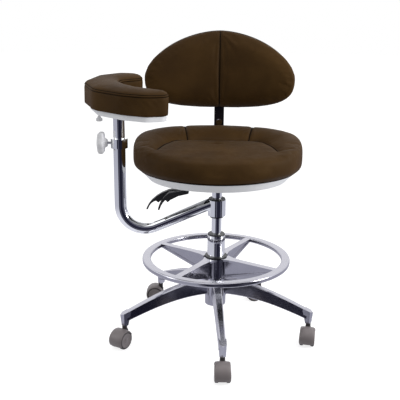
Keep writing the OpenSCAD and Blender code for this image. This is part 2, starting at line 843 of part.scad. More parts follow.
module arm_pan() {
    color("#f2f2f4") difference() {
        union() {
            at_pad() linear_extrude(pan_h) pad_outline(pan_inset);
            at_post() translate([0, 0, post_top + plate_t + 0.1]) cylinder(r = 24, h = 8, $fn = small_fn);
        }
        at_post() translate([0, 0, post_top]) cylinder(r = spigot_r + gap, h = 17.5, $fn = small_fn);
        at_lock() translate([0, 0, 640]) cylinder(r = 3 + gap, h = 24, $fn = small_fn);
    }
}

module arm_pad() {
    color("#46331f") at_pad() translate([0, 0, pan_h + 0.05]) linear_extrude(pad_h) pad_outline(0);
}

// place of the knob that locks the pad
module at_lock() {
    at_post() rotate([0, 0, -arm_turn]) translate([-47, -30, 0]) children();
}

module pad_lock_knob() {
    color("#d8d8dc") at_lock() {
        translate([0, 0, 632]) lobed_knob(8, 9, 6, 1.5);
        translate([0, 0, 640]) cylinder(r = 3, h = 22, $fn = small_fn);
    }
}

// ---- what is drawn ----

star_base();
caster_sockets();
outer_column();
column_cap();
guide_bush();
thrust_bearing();
piston_rod();
gas_cylinder();
release_pin();
foot_ring();
foot_ring_bush();
foot_ring_knob();
seat_mechanism();
seat_board();
seat_pan();
seat_cushion();
seat_screws();
lever_pin();
height_lever();
height_grip();
back_lever();
back_grip();
back_bracket();
back_pivot_pin();
back_upright();
back_bolt();
back_board();
back_shell();
back_pad();
back_screws();
arm_collar();
arm_collar_bush();
arm_stop_ring();
arm_tube();
clamp_collar();
clamp_knob();
arm_post();
arm_plate();
arm_pan();
arm_pad();
pad_lock_knob();
for (i = CASTERS) {
    caster_hood(i);
    caster_stem(i);
    caster_wheels(i);
}
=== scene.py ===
"""Dentist stool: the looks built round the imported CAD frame. Metres, +Z up, the seat faces -Y."""
import json
import math

import bmesh
import bpy
import numpy as np
from mathutils import Matrix, Vector
from mathutils.bvhtree import BVHTree

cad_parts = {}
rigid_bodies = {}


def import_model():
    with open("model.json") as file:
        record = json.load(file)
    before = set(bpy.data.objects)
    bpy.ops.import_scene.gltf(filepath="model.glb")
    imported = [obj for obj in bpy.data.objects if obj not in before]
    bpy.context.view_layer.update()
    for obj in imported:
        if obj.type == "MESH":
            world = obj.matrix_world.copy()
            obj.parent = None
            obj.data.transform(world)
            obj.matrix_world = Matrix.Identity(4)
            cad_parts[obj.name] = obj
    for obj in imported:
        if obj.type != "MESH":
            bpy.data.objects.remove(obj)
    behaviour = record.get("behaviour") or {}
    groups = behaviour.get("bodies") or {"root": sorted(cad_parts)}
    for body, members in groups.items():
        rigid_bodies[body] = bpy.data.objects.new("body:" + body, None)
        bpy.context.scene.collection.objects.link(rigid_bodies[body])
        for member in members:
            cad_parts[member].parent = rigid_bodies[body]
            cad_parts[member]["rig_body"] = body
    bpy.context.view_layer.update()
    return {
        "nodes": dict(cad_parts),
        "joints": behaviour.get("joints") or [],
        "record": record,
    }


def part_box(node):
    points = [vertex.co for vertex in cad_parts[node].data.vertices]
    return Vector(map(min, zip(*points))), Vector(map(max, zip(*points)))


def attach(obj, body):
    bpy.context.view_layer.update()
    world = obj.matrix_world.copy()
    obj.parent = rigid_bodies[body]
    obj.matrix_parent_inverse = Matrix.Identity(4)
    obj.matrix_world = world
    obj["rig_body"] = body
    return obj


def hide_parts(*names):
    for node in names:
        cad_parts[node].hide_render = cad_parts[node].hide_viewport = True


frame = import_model()
scene = bpy.context.scene
nodes = frame["nodes"]


# ---------------------------------------------------------------- camera

def make_camera():
    """The photograph's view: from the front, looking down, aimed a little left of the column."""
    azimuth, pitch, roll = math.radians(2.0), math.radians(15.58), math.radians(0.594)
    aim_side, aim_height, distance = -0.0474, 0.3994, 1.8954
    across = Vector((math.cos(azimuth), math.sin(azimuth), 0))
    back = Vector((math.sin(azimuth) * math.cos(pitch), -math.cos(azimuth) * math.cos(pitch),
                   math.sin(pitch)))
    up = back.cross(across)
    right = math.cos(roll) * across + math.sin(roll) * up
    top = back.cross(right)
    eye = across * aim_side + Vector((0, 0, aim_height)) + back * distance
    data = bpy.data.cameras.new("camera")
    data.lens = 60.76
    data.sensor_width = 36
    data.clip_start, data.clip_end = 0.05, 50
    camera = bpy.data.objects.new("camera", data)
    scene.collection.objects.link(camera)
    rotation = Matrix((right, top, back)).transposed().to_4x4()
    camera.matrix_world = Matrix.Translation(eye) @ rotation
    scene.camera = camera


make_camera()
scene.view_settings.view_transform = "Standard"


# ---------------------------------------------------------------- materials

def new_material(name):
    """A material with one shader. Returns the material, its node tree and the shader."""
    material = bpy.data.materials.new(name)
    material.use_nodes = True
    tree = material.node_tree
    tree.nodes.clear()
    output = tree.nodes.new("ShaderNodeOutputMaterial")
    shader = tree.nodes.new("ShaderNodeBsdfPrincipled")
    tree.links.new(shader.outputs[0], output.inputs[0])
    return material, tree, shader


def noise(tree, scale, detail=3.0, roughness=0.5, stretch=(1, 1, 1)):
    """A noise pattern in the object's own metres. Returns its value socket."""
    place = tree.nodes.new("ShaderNodeTexCoord")
    mapping = tree.nodes.new("ShaderNodeMapping")
    mapping.inputs["Scale"].default_value = stretch
    pattern = tree.nodes.new("ShaderNodeTexNoise")
    pattern.inputs["Scale"].default_value = scale
    pattern.inputs["Detail"].default_value = detail
    pattern.inputs["Roughness"].default_value = roughness
    tree.links.new(place.outputs["Object"], mapping.inputs["Vector"])
    tree.links.new(mapping.outputs["Vector"], pattern.inputs["Vector"])
    return pattern.outputs["Fac"]


def cells(tree, scale, smoothness=0.4):
    """A pebbled pattern of cells. Returns its distance socket."""
    place = tree.nodes.new("ShaderNodeTexCoord")
    pattern = tree.nodes.new("ShaderNodeTexVoronoi")
    pattern.feature = "SMOOTH_F1"
    pattern.inputs["Scale"].default_value = scale
    pattern.inputs["Smoothness"].default_value = smoothness
    tree.links.new(place.outputs["Object"], pattern.inputs["Vector"])
    return pattern.outputs["Distance"]


def ramp(tree, value, stops):
    """A colour ramp over value: stops are (place, colour)."""
    node = tree.nodes.new("ShaderNodeValToRGB")
    elements = node.color_ramp.elements
    while len(elements) < len(stops):
        elements.new(0.5)
    for element, (place, colour) in zip(elements, stops):
        element.position = place
        element.color = (*colour, 1)
    tree.links.new(value, node.inputs["Fac"])
    return node.outputs["Color"]


def span(tree, value, low, high, side="To"):
    """Maps 0..1 to low..high, or low..high to 0..1 where side is "From"."""
    node = tree.nodes.new("ShaderNodeMapRange")
    node.inputs[side + " Min"].default_value = low
    node.inputs[side + " Max"].default_value = high
    tree.links.new(value, node.inputs["Value"])
    return node.outputs["Result"]


def bump(tree, shader, layers):
    """Bump from several (height socket, distance in metres, strength) layers."""
    normal = None
    for height, distance, strength in layers:
        node = tree.nodes.new("ShaderNodeBump")
        node.inputs["Distance"].default_value = distance
        node.inputs["Strength"].default_value = strength
        tree.links.new(height, node.inputs["Height"])
        if normal is not None:
            tree.links.new(normal, node.inputs["Normal"])
        normal = node.outputs["Normal"]
    tree.links.new(normal, shader.inputs["Normal"])


def leather():
    material, tree, shader = new_material("leather")
    tone = noise(tree, 9, 4)
    colour = ramp(tree, tone, [(0.3, (0.038, 0.0185, 0.0048)),
                               (0.55, (0.052, 0.0260, 0.0068)),
                               (0.75, (0.068, 0.035, 0.0095))])
    tree.links.new(colour, shader.inputs["Base Color"])
    tree.links.new(span(tree, noise(tree, 60, 3), 0.52, 0.68), shader.inputs["Roughness"])
    shader.inputs["Specular IOR Level"].default_value = 0.08
    bump(tree, shader, [(noise(tree, 22, 3), 0.004, 0.25), (cells(tree, 700), 0.0006, 0.35),
                        (noise(tree, 1500, 2), 0.0002, 0.3)])
    return material


def metal(name, colour, low, high, stretch=(1, 1, 1), ripple=0.0):
    """Metal with a roughness from low to high; ripple is the strength of its broad waves."""
    material, tree, shader = new_material(name)
    shader.inputs["Metallic"].default_value = 1.0
    dark = tuple(c * 0.93 for c in colour)
    tree.links.new(ramp(tree, noise(tree, 14, 3), [(0.3, dark), (0.7, colour)]),
                   shader.inputs["Base Color"])
    tree.links.new(span(tree, noise(tree, 90, 4, 0.6, stretch), low, high),
                   shader.inputs["Roughness"])
    layers = [(noise(tree, 900, 2, 0.5, stretch), 0.0001, 0.05)]
    if ripple:
        layers.insert(0, (noise(tree, 24, 2), 0.002, ripple))
    bump(tree, shader, layers)
    return material


def plastic(name, colour, low, high, grain=0.0, mottled=0.9, gloss=0.5):
    """Plastic, paint, rubber or thread: mottled is how dark its darker patches are."""
    material, tree, shader = new_material(name)
    shade = tuple(c * mottled for c in colour)
    tree.links.new(ramp(tree, noise(tree, 30, 3), [(0.3, shade), (0.7, colour)]),
                   shader.inputs["Base Color"])
    tree.links.new(span(tree, noise(tree, 120, 3), low, high), shader.inputs["Roughness"])
    shader.inputs["Specular IOR Level"].default_value = gloss
    bump(tree, shader, [(noise(tree, 1800, 2), 0.0003, grain)])
    return material


def plywood():
    material, tree, shader = new_material("plywood")
    grain = noise(tree, 12, 5, 0.6, (1, 14, 1))
    tree.links.new(ramp(tree, grain, [(0.3, (0.36, 0.22, 0.11)), (0.7, (0.56, 0.39, 0.22))]),
                   shader.inputs["Base Color"])
    tree.links.new(span(tree, grain, 0.55, 0.75), shader.inputs["Roughness"])
    bump(tree, shader, [(grain, 0.0005, 0.3)])
    return material


# for plastic: name, colour, roughness from and to, grain, mottling
MATERIALS = {
    "polished_aluminium": metal("polished_aluminium", (0.44, 0.437, 0.485), 0.12, 0.26,
                                ripple=0.14),
    "chrome": metal("chrome", (0.90, 0.91, 0.92), 0.03, 0.08),
    "steel": metal("steel", (0.52, 0.52, 0.54), 0.22, 0.38),
    "brass": metal("brass", (0.72, 0.56, 0.26), 0.2, 0.35),
    "black_plastic": plastic("black_plastic", (0.014, 0.014, 0.016), 0.32, 0.5, 0.3),
    "black_steel": plastic("black_steel", (0.008, 0.008, 0.013), 0.12, 0.22, 0.05),
    "white_plastic": plastic("white_plastic", (0.88, 0.89, 0.92), 0.28, 0.4, 0.06, 0.97),
    "pale_plastic": plastic("pale_plastic", (0.78, 0.78, 0.80), 0.3, 0.42, 0.1, 0.96),
    "grey_plastic": plastic("grey_plastic", (0.205, 0.180, 0.180), 0.34, 0.48, 0.25),
    "tyre": plastic("tyre", (0.055, 0.05, 0.05), 0.5, 0.65, 0.4),
    "leather": leather(),
    "plywood": plywood(),
    "dark_plastic": plastic("dark_plastic", (0.030, 0.027, 0.027), 0.4, 0.55, 0.2),
    # seam: near-black for the seams and welts; the same colour also paints the shade in the creases
    # beside the arm pad's piping
    "seam": plastic("seam", (0.006, 0.0035, 0.002), 0.7, 0.85, 0.2, gloss=0.05),
    "thread": plastic("thread", (0.055, 0.030, 0.010), 0.55, 0.7, 0.4, gloss=0.15),
}
node_slot = {row["node"]: row["material_slot"] for row in frame["record"]["subparts"]}
for name, obj in nodes.items():
    obj.data.materials.clear()
    obj.data.materials.append(MATERIALS[node_slot[name]])


# ---------------------------------------------------------------- mesh tools

def get_points(mesh):
    points = np.empty(len(mesh.vertices) * 3, np.float32)
    mesh.vertices.foreach_get("co", points)
    return points.reshape(-1, 3).astype(float)


def set_points(mesh, points):
    mesh.vertices.foreach_set("co", points.astype(np.float32).ravel())
    mesh.update()


def get_normals(mesh):
    normals = np.empty(len(mesh.vertices) * 3, np.float32)
    mesh.vertices.foreach_get("normal", normals)
    return normals.reshape(-1, 3).astype(float)


def new_piece(name, points, faces, material, body, slot):
    """A mesh piece with its finish, riding on a body."""
    mesh = bpy.data.meshes.new(name)
    mesh.from_pydata([tuple(map(float, p)) for p in points], [], faces)
    mesh.materials.append(material)
    obj = bpy.data.objects.new(name, mesh)
    scene.collection.objects.link(obj)
    mesh.polygons.foreach_set("use_smooth", [True] * len(mesh.polygons))
    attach(obj, body)
    return obj


def bake(obj, kind, **values):
    """Adds a modifier, keeps its result as the mesh, and removes it."""
    modifier = obj.modifiers.new(kind, kind)
    for key, value in values.items():
        setattr(modifier, key, value)
    seen = obj.evaluated_get(bpy.context.evaluated_depsgraph_get())
    mesh = bpy.data.meshes.new_from_object(seen)
    obj.modifiers.remove(modifier)
    old = obj.data
    obj.data = mesh
    bpy.data.meshes.remove(old)
    mesh.polygons.foreach_set("use_smooth", [True] * len(mesh.polygons))


def lathe_rings(rings):
    """Points and faces of a closed form through rings; the first and last rings are one point."""
    steps = len(rings[1])
    points = [rings[0][0]]
    for ring in rings[1:-1]:
        points.extend(ring)
    points.append(rings[-1][0])
    faces = [(0, 1 + i, 1 + (i + 1) % steps) for i in range(steps)]
    for k in range(len(rings) - 3):
        a, b = 1 + k * steps, 1 + (k + 1) * steps
        for i in range(steps):
            j = (i + 1) % steps
            faces.append((a + i, b + i, b + j, a + j))
    last, end = 1 + (len(rings) - 3) * steps, len(points) - 1
    faces += [(last + i, end, last + (i + 1) % steps) for i in range(steps)]
    return points, faces


def oval(half_w, front, rear, power, steps=120):
    """An oval with its own reach in front of and behind its centre."""
    t = np.linspace(0, 2 * np.pi, steps, endpoint=False)
    side = np.sign(np.cos(t)) * np.abs(np.cos(t)) ** (2 / power)
    deep = np.sign(np.sin(t)) * np.abs(np.sin(t)) ** (2 / power)
    return np.stack([half_w * side, np.where(deep < 0, front, rear) * deep], 1)


def distance_to(points, line, closed=False):
    """How far each point is from a line of straight runs."""
    line = np.asarray(line, float)
    starts = line if closed else line[:-1]
    ends = np.roll(line, -1, 0) if closed else line[1:]
    nearest = np.full(len(points), np.inf)
    for start, end in zip(starts, ends):
        run = end - start
        along = np.clip((points - start) @ run / max(run @ run, 1e-12), 0, 1)
        gap = points - (start + along[:, None] * run)
        nearest = np.minimum(nearest, np.einsum("ij,ij->i", gap, gap))
    return np.sqrt(nearest)


def inside(points, outline):
    """Which flat points lie inside a closed outline."""
    result = np.zeros(len(points), bool)
    x, y = points[:, 0], points[:, 1]
    for (ax, ay), (bx, by) in zip(outline, np.roll(outline, -1, 0)):
        crosses = (ay > y) != (by > y)
        with np.errstate(divide="ignore", invalid="ignore"):
            result ^= crosses & (x < (bx - ax) * (y - ay) / (by - ay) + ax)
    return result


def resample(line, step, closed=False):
    """Points at even steps along a line of straight runs."""
    line = np.asarray(line, float)
    if closed:
        line = np.vstack([line, line[:1]])
    runs = np.linalg.norm(np.diff(line, axis=0), axis=1)
    lengths = np.concatenate([[0], np.cumsum(runs)])
    count = max(2, int(round(lengths[-1] / step)))
    places = np.linspace(0, lengths[-1], count, endpoint=not closed)
    return np.stack([np.interp(places, lengths, line[:, k]) for k in range(line.shape[1])], 1)


def smooth_line(line, passes=3):
    """Rounds a line's corners and keeps its ends."""
    line = np.asarray(line, float)
    for _ in range(passes):
        cut = [line[0]]
        for a, b in zip(line[:-1], line[1:]):
            cut += [0.75 * a + 0.25 * b, 0.25 * a + 0.75 * b]
        cut.append(line[-1])
        line = np.array(cut)
    return line


def sweep(path, radius, closed=False, sides=8):
    """Points and faces of a round cord along a path."""
    path = np.asarray(path, float)
    count = len(path)
    ahead = np.roll(path, -1, 0) - np.roll(path, 1, 0)
    if not closed:
        ahead[0], ahead[-1] = path[1] - path[0], path[-1] - path[-2]
    ahead /= np.linalg.norm(ahead, axis=1)[:, None]
    up = np.array([0.0, 0.0, 1.0])
    if abs(ahead[0] @ up) > 0.9:
        up = np.array([1.0, 0.0, 0.0])
    points = []
    for k in range(count):
        up = up - (up @ ahead[k]) * ahead[k]
        up /= np.linalg.norm(up)
        side = np.cross(ahead[k], up)
        for j in range(sides):
            angle = 2 * math.pi * j / sides
            points.append(path[k] + radius * (math.cos(angle) * side + math.sin(angle) * up))
    faces = []
    for k in range(count if closed else count - 1):
        a, b = k * sides, ((k + 1) % count) * sides
        for j in range(sides):
            m = (j + 1) % sides
            faces.append((a + j, a + m, b + m, b + j))
    if not closed:
        faces.append(tuple(range(sides - 1, -1, -1)))
        faces.append(tuple((count - 1) * sides + j for j in range(sides)))
    return points, faces


def merge(parts):
    """Several (points, faces) lists as one."""
    points, faces = [], []
    for some_points, some_faces in parts:
        start = len(points)
        points.extend(some_points)
        faces.extend(tuple(start + i for i in face) for face in some_faces)
    return points, faces


# ---------------------------------------------------------------- padding

CLOTH_FRAMES = 20
PRESSURE = 4
STITCH_SIDES = (-0.0042, 0.0042)    # a row of stitches on each side of a seam
SEAM_DEPTH, SEAM_WIDTH = 0.0030, 0.0036


def surface_of(obj):
    """The piece's surface, to cast rays at."""
    points = [Vector(p) for p in get_points(obj.data)]
    return BVHTree.FromPolygons(points, [tuple(p.vertices) for p in obj.data.polygons])


def lay_on(surface, points, direction, lift=0.0):
    """Drops points along direction to the surface, and lifts them off it by lift."""
    found = []
    direction = Vector(direction).normalized()
    for point in points:
        start = Vector(point) - direction * 0.4
        place, normal = surface.ray_cast(start, direction)[:2]
        if place is not None:
            found.append(np.array(place + normal * lift))
    return np.array(found)


def swell(obj, pinned, cap):
    """Cloth simulation: the cover swells between its pinned seams, by at most about cap."""
    rest = get_points(obj.data)
    group = obj.vertex_groups.new(name="pin")
    group.add([int(i) for i in np.flatnonzero(pinned)], 1.0, "REPLACE")
    cloth = obj.modifiers.new("cloth", "CLOTH")
    settings = cloth.settings
    settings.quality = 4
    settings.mass = 0.3
    settings.vertex_group_mass = "pin"
    settings.use_pressure = True
    settings.uniform_pressure_force = PRESSURE
    settings.effector_weights.gravity = 0
    cloth.collision_settings.use_collision = False
    cloth.point_cache.frame_start, cloth.point_cache.frame_end = 1, CLOTH_FRAMES
    for number in range(1, CLOTH_FRAMES + 1):
        scene.frame_set(number)
    seen = obj.evaluated_get(bpy.context.evaluated_depsgraph_get())
    step = get_points(seen.data) - rest
    obj.modifiers.remove(cloth)
    scene.frame_set(1)
    length = np.linalg.norm(step, axis=1)[:, None] + 1e-9
    set_points(obj.data, rest + step / length * cap * np.tanh(length / cap))
    obj.vertex_groups.clear()


def press(obj, line, depth, width, closed=False):
    """Pulls the cover in along a seam."""
    points = get_points(obj.data)
    far = distance_to(points, line, closed)
    sunk = depth * np.exp(-(far / width) ** 2)
    set_points(obj.data, points - get_normals(obj.data) * sunk[:, None])


def wrinkle(obj, centre, spread, direction, length, depth):
    """Soft creases round a point: waves along direction that fade with distance."""
    points = get_points(obj.data)
    near = np.exp(-np.sum(((points - centre) / spread) ** 2, axis=1))
    along = points @ (np.asarray(direction, float) / np.linalg.norm(direction))
    wave = np.sin(2 * np.pi * along / length + 3 * np.sin(points[:, 2] * 90))
    set_points(obj.data, points + get_normals(obj.data) * (depth * near * wave)[:, None])


def stitches(line, normal_of, offset, pitch=0.0045, size=0.00045):
    """A row of thread stitches beside a seam: offset to its side, half sunk in the cover."""
    line = resample(line, pitch)
    parts = []
    for a, b in zip(line[:-1], line[1:]):
        run = b - a
        normal = normal_of(0.5 * (a + b))
        side = np.cross(run, normal)
        side *= offset / (np.linalg.norm(side) + 1e-9)
        start, end = a + 0.15 * run + side, b - 0.15 * run + side
        middle = 0.5 * (start + end) + normal * size * 0.9
        parts.append(sweep([start - normal * size * 0.3, start + normal * size * 0.5, middle,
                            end + normal * size * 0.5, end - normal * size * 0.3], size, sides=6))
    return merge(parts)


def surface_normal(surface):
    """A function that gives the surface's normal nearest to a point."""
    def normal_of(point):
        return np.array(surface.find_nearest(Vector(point))[1])
    return normal_of


# ---------------------------------------------------------------- seat cushion

def horseshoe():
    """The seam at the foot of the seat's raised rim, seen from above."""
    half = smooth_line([(0, 0.060), (0.078, 0.060), (0.112, 0.048), (0.134, 0.016),
                        (0.148, -0.030), (0.160, -0.086)])
    return np.vstack([(half * [-1, 1])[::-1], half[1:]])


def seat_heights(flat, share, edge_y):
    """Height of the seat's top: a dished middle, a raised rim at the sides and rear."""
    line = horseshoe()
    middle = np.vstack([line, [(0.185, -0.15), (0, -0.24), (-0.185, -0.15)]])
    away = np.where(inside(flat, middle), 0, distance_to(flat, line))
    to_crest = np.maximum(0.88 - share, 0) * 0.20
    climb = np.sin(0.5 * np.pi * away / (away + to_crest + 1e-6))
    low = np.interp(flat[:, 1], [-0.20, -0.16, -0.10, 0.0, 0.06],
                    [0.549, 0.552, 0.5555, 0.5575, 0.5585])
    low = low + 0.004 * (flat[:, 0] / 0.15) ** 2 * np.clip((flat[:, 1] + 0.16) / 0.1, 0, 1)
    crest = np.interp(edge_y, [-0.20, -0.15, -0.09, 0.0, 0.07, 0.19],
                      [0.551, 0.555, 0.564, 0.5755, 0.581, 0.584])
    return low + np.maximum(crest - low, 0) * climb


def level(flat, height):
    """Flat points, all at one height."""
    return np.column_stack([flat, np.full(len(flat), height)])


def make_seat():
    """The seat cushion: dished, with a horseshoe seam and two seams out over the rear rim."""
    rim = oval(0.2290, 0.199, 0.186, 2.3)
    widest = oval(0.2310, 0.203, 0.187, 2.2)
    low = oval(0.2290, 0.202, 0.186, 2.05)
    foot = oval(0.2170, 0.196, 0.180, 1.9)
    board = oval(0.2040, 0.179, 0.171, 2.0)
    rings = [[(0, 0, 0.554)]]
    for share in (0.08, 0.2, 0.3, 0.4, 0.5, 0.6, 0.7, 0.8, 0.88, 0.93, 0.96, 0.98, 0.993, 1.0):
        flat = rim * share
        tall = seat_heights(flat, share, rim[:, 1])
        over = max(share - 0.93, 0) / 0.07
        tall = tall - 0.0115 * (1 - math.sqrt(max(1 - over * over, 0)))
        rings.append(np.column_stack([flat, tall]))
    edge = rings[-1]
    for outline, z, part in ((widest, 0.524, 0.5), (widest, 0.518, 1.0), (low, 0.504, 1.0),
                             (foot, 0.4915, 1.0)):
        flat = rim + (outline - rim) * (0.8 if part < 1 else 1)
        tall = edge[:, 2] + (z - edge[:, 2]) * part
        rings.append(np.column_stack([flat, tall]))
    # underneath, a recess for the board
    for outline, z in ((foot * 0.97, 0.4905), (board * 1.006, 0.4925), (board, 0.503),
                       (board * 0.5, 0.503)):
        rings.append(level(outline, z))
    rings.append([(0, 0, 0.503)])
    points, faces = lathe_rings(rings)
    seat = new_piece("seat_cover", points, faces, MATERIALS["leather"], "seat", "leather")
    bake(seat, "REMESH", mode="VOXEL", voxel_size=0.005)
    bake(seat, "SMOOTH", iterations=3, factor=0.5)

    surface = surface_of(seat)
    above, down = 0.7, (0, 0, -1)
    flat_seams = [resample(horseshoe(), 0.006)]
    for side in (-1, 1):
        radial = [(side * 0.086, 0.058), (side * 0.095, 0.12), (side * 0.105, 0.190)]
        flat_seams.append(resample(radial, 0.006))
    seams = [lay_on(surface, level(flat, above), down) for flat in flat_seams]
    points = get_points(seat.data)
    pinned = points[:, 2] < 0.506
    for seam in seams:
        pinned |= distance_to(points, seam) < 0.005
    swell(seat, pinned, 0.003)
    bake(seat, "SUBSURF", levels=1)

    surface = surface_of(seat)
    seams = [lay_on(surface, level(flat, above), down) for flat in flat_seams]
    for seam in seams:
        press(seat, seam, SEAM_DEPTH, SEAM_WIDTH)
        press(seat, seam, 0.0014, 0.010)
    surface = surface_of(seat)
    normal_of = surface_normal(surface)
    cords, threads = [], []
    for flat in flat_seams:
        seam = lay_on(surface, level(flat, above), down, 0.0004)
        cords.append(sweep(seam, 0.0015))
        for offset in STITCH_SIDES:
            threads.append(stitches(seam, normal_of, offset))
    add_trim("seat_seam", cords, "seam", "seat")
    add_trim("seat_stitches", threads, "thread", "seat")

    edge = level(oval(0.2150, 0.196, 0.180, 1.9, 240) * 0.997, 0.4918)
    add_trim("seat_welt", [sweep(edge, 0.0016, True)], "seam", "seat")
    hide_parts("seat_cushion")


def add_trim(name, parts, finish, body):
    """One piece of cords or stitches on a cover."""
    points, faces = merge(parts)
    return new_piece(name, points, faces, MATERIALS[finish], body, "leather")


# ---------------------------------------------------------------- back pad

BACK_AXIS_Y, BACK_RADIUS = -0.200, 0.436
BACK_MIDDLE = 0.722    # height of its widest place


def back_point(x, z, depth):
    """A place on the curved back: depth in front of the board's face."""
    radius = BACK_RADIUS - depth
    x = x * radius / BACK_RADIUS
    return np.column_stack([x, BACK_AXIS_Y + np.sqrt(radius ** 2 - x ** 2), z])


def back_outline(inset, steps=144):
    """The back's outline from in front, about its middle: a taller arch above, flatter below."""
    t = np.linspace(0, 2 * np.pi, steps, endpoint=False)
    up = np.sin(t) >= 0
    power = np.where(up, 1.78, 3.0)
    x = (0.219 - inset) * np.sign(np.cos(t)) * np.abs(np.cos(t)) ** (2 / power)
    tall = np.where(up, 0.137, 0.096) - inset
    return x, tall * np.sign(np.sin(t)) * np.abs(np.sin(t)) ** (2 / power)


def make_back():
    """The back pad: crowned, wrapped round its board's edge, with a vertical centre seam."""
    x, z = back_outline(0.003)
    x = x * 1.035
    rings = [back_point(np.zeros(1), np.array([BACK_MIDDLE]), 0.034)]
    for share, depth in ((0.1, 0.034), (0.25, 0.034), (0.4, 0.0335), (0.55, 0.0325),
                         (0.68, 0.031), (0.78, 0.0285), (0.86, 0.0255), (0.92, 0.022),
                         (0.965, 0.0175), (0.99, 0.0125), (1.0, 0.0075), (0.992, 0.002),
                         (0.982, -0.003), (0.970, -0.0065), (0.95, -0.0080), (0.6, -0.0080)):
        rings.append(back_point(x * share, BACK_MIDDLE + z * share, depth))
    rings.append(back_point(np.zeros(1), np.array([BACK_MIDDLE]), -0.0080))
    points, faces = lathe_rings(rings)
    back = new_piece("back_cover", points, faces, MATERIALS["leather"], "back", "leather")
    bake(back, "REMESH", mode="VOXEL", voxel_size=0.005)
    bake(back, "SMOOTH", iterations=3, factor=0.5)
    points = get_points(back.data)
    radius = np.hypot(points[:, 0], points[:, 1] - BACK_AXIS_Y)
    pinned = (radius > 0.4390) | ((np.abs(points[:, 0]) < 0.004) & (radius < 0.43))
    swell(back, pinned, 0.0035)
    bake(back, "SUBSURF", levels=1)

    heights = np.linspace(0.630, 0.852, 40)
    line = np.column_stack([np.zeros(40), np.full(40, 0.1), heights])
    rearward = (0, 1, 0)
    seam = lay_on(surface_of(back), line, rearward)
    press(back, seam, 0.0026, SEAM_WIDTH)
    press(back, seam, 0.0022, 0.012)
    surface = surface_of(back)
    normal_of = surface_normal(surface)
    seam = lay_on(surface, line, rearward, 0.0001)
    add_trim("back_seam", [sweep(seam, 0.0014)], "seam", "back")
    threads = [stitches(seam, normal_of, offset) for offset in STITCH_SIDES]
    add_trim("back_stitches", threads, "thread", "back")
    x, z = back_outline(0.005, 300)
    welt = back_point(x * 0.994, BACK_MIDDLE + z, -0.0068)
    add_trim("back_welt", [sweep(welt, 0.0019, True)], "seam", "back")
    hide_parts("back_pad", "back_board")


# ---------------------------------------------------------------- arm pad

def make_arm_pad():
    """From the CAD pad: a straight wall up to a piped seam, and a crowned top."""
    cad = nodes["arm_pad"]
    polygons = sorted(cad.data.polygons, key=lambda p: -p.area)
    up = np.array(max(polygons[:60], key=lambda p: p.normal.z).normal)
    up /= np.linalg.norm(up)
    side = np.cross([0.0, 1.0, 0.0], up)
    side /= np.linalg.norm(side)
    ahead = np.cross(up, side)
    turn = np.array([side, ahead, up])
    local = get_points(cad.data) @ turn.T
    floor_h = local[:, 2].min()
    outline = pad_loop(cad.data, local, floor_h)
    seam_h = floor_h + 0.0515
    right = outline[:, 0].max()
    outline[:, 0] = right - (right - outline[:, 0]) * 1.05

    inner = shrink(outline, 0.0025)
    bm = bmesh.new()
    low = [bm.verts.new(p) for p in level(inner, floor_h + 0.0005)]
    top = [bm.verts.new(p) for p in level(inner, seam_h)]
    bm.faces.new(low[::-1])
    bm.faces.new(top)
    for i in range(len(low)):
        j = (i + 1) % len(low)
        bm.faces.new((low[i], low[j], top[j], top[i]))
    bmesh.ops.recalc_face_normals(bm, faces=bm.faces)
    mesh = bpy.data.meshes.new("arm_pad_cover")
    bm.to_mesh(mesh)
    bm.free()
    mesh.materials.append(MATERIALS["leather"])
    pad = bpy.data.objects.new("arm_pad_cover", mesh)
    scene.collection.objects.link(pad)
    bake(pad, "REMESH", mode="VOXEL", voxel_size=0.0045)

    points = get_points(pad.data)
    inward = distance_to(points[:, :2], inner, True)
    crown = 0.0130 * np.sqrt(1 - (1 - np.clip(inward / 0.034, 0, 1)) ** 2)
    on_top = points[:, 2] > seam_h - 0.003
    points[:, 2] += np.where(on_top, crown, 0)
    set_points(pad.data, points)
    bake(pad, "SMOOTH", iterations=2, factor=0.5)
    points = get_points(pad.data)
    seam = level(resample(inner, 0.005, True), seam_h)
    pinned = (points[:, 2] < floor_h + 0.004) | (distance_to(points, seam, True) < 0.0045)
    swell(pad, pinned, 0.003)
    bake(pad, "SUBSURF", levels=1)
    press(pad, seam, 0.0016, 0.0045, True)
    front = np.array([*inner[np.argmin(inner[:, 1])], seam_h - 0.018])
    wrinkle(pad, front + [-0.02, 0.02, 0], np.array([0.05, 0.05, 0.016]), (1, 0.3, 0.25),
            0.020, 0.0007)

    surface = surface_of(pad)
    path = []
    for point in seam:
        found = surface.find_nearest(Vector(point))
        path.append(np.array(found[0] + found[1] * 0.0004))
    path = np.array(path)
    for _ in range(4):
        path = 0.25 * np.roll(path, 1, 0) + 0.5 * path + 0.25 * np.roll(path, -1, 0)
    path[:, 2] = seam_h
    cord = sweep(resample(path, 0.004, True), 0.0021, True)
    piping = add_trim("arm_pad_piping", [cord], "leather", "arm_rest")
    # Painted shade: thin near-black lines laid on the cover just above and below the piping, in the
    # creases where it meets the pad
    painted_crease_lines = []
    for rise in (-0.0030, 0.0030):
        edge = []
        for point in resample(path, 0.004, True):
            found = surface.find_nearest(Vector(point + [0, 0, rise]))
            edge.append(np.array(found[0] - found[1] * 0.0001))
        painted_crease_lines.append(sweep(np.array(edge), 0.0008, True))
    painted_creases = add_trim("arm_pad_painted_crease", painted_crease_lines, "seam", "arm_rest")
    normal_of = surface_normal(surface)
    thread = stitches(np.vstack([path, path[:1]]), normal_of, 0.0065, 0.005)
    threads = add_trim("arm_pad_stitches", [thread], "thread", "arm_rest")
    for obj in (pad, piping, painted_creases, threads):
        set_points(obj.data, get_points(obj.data) @ turn)
    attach(pad, "arm_rest")
    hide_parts("arm_pad")


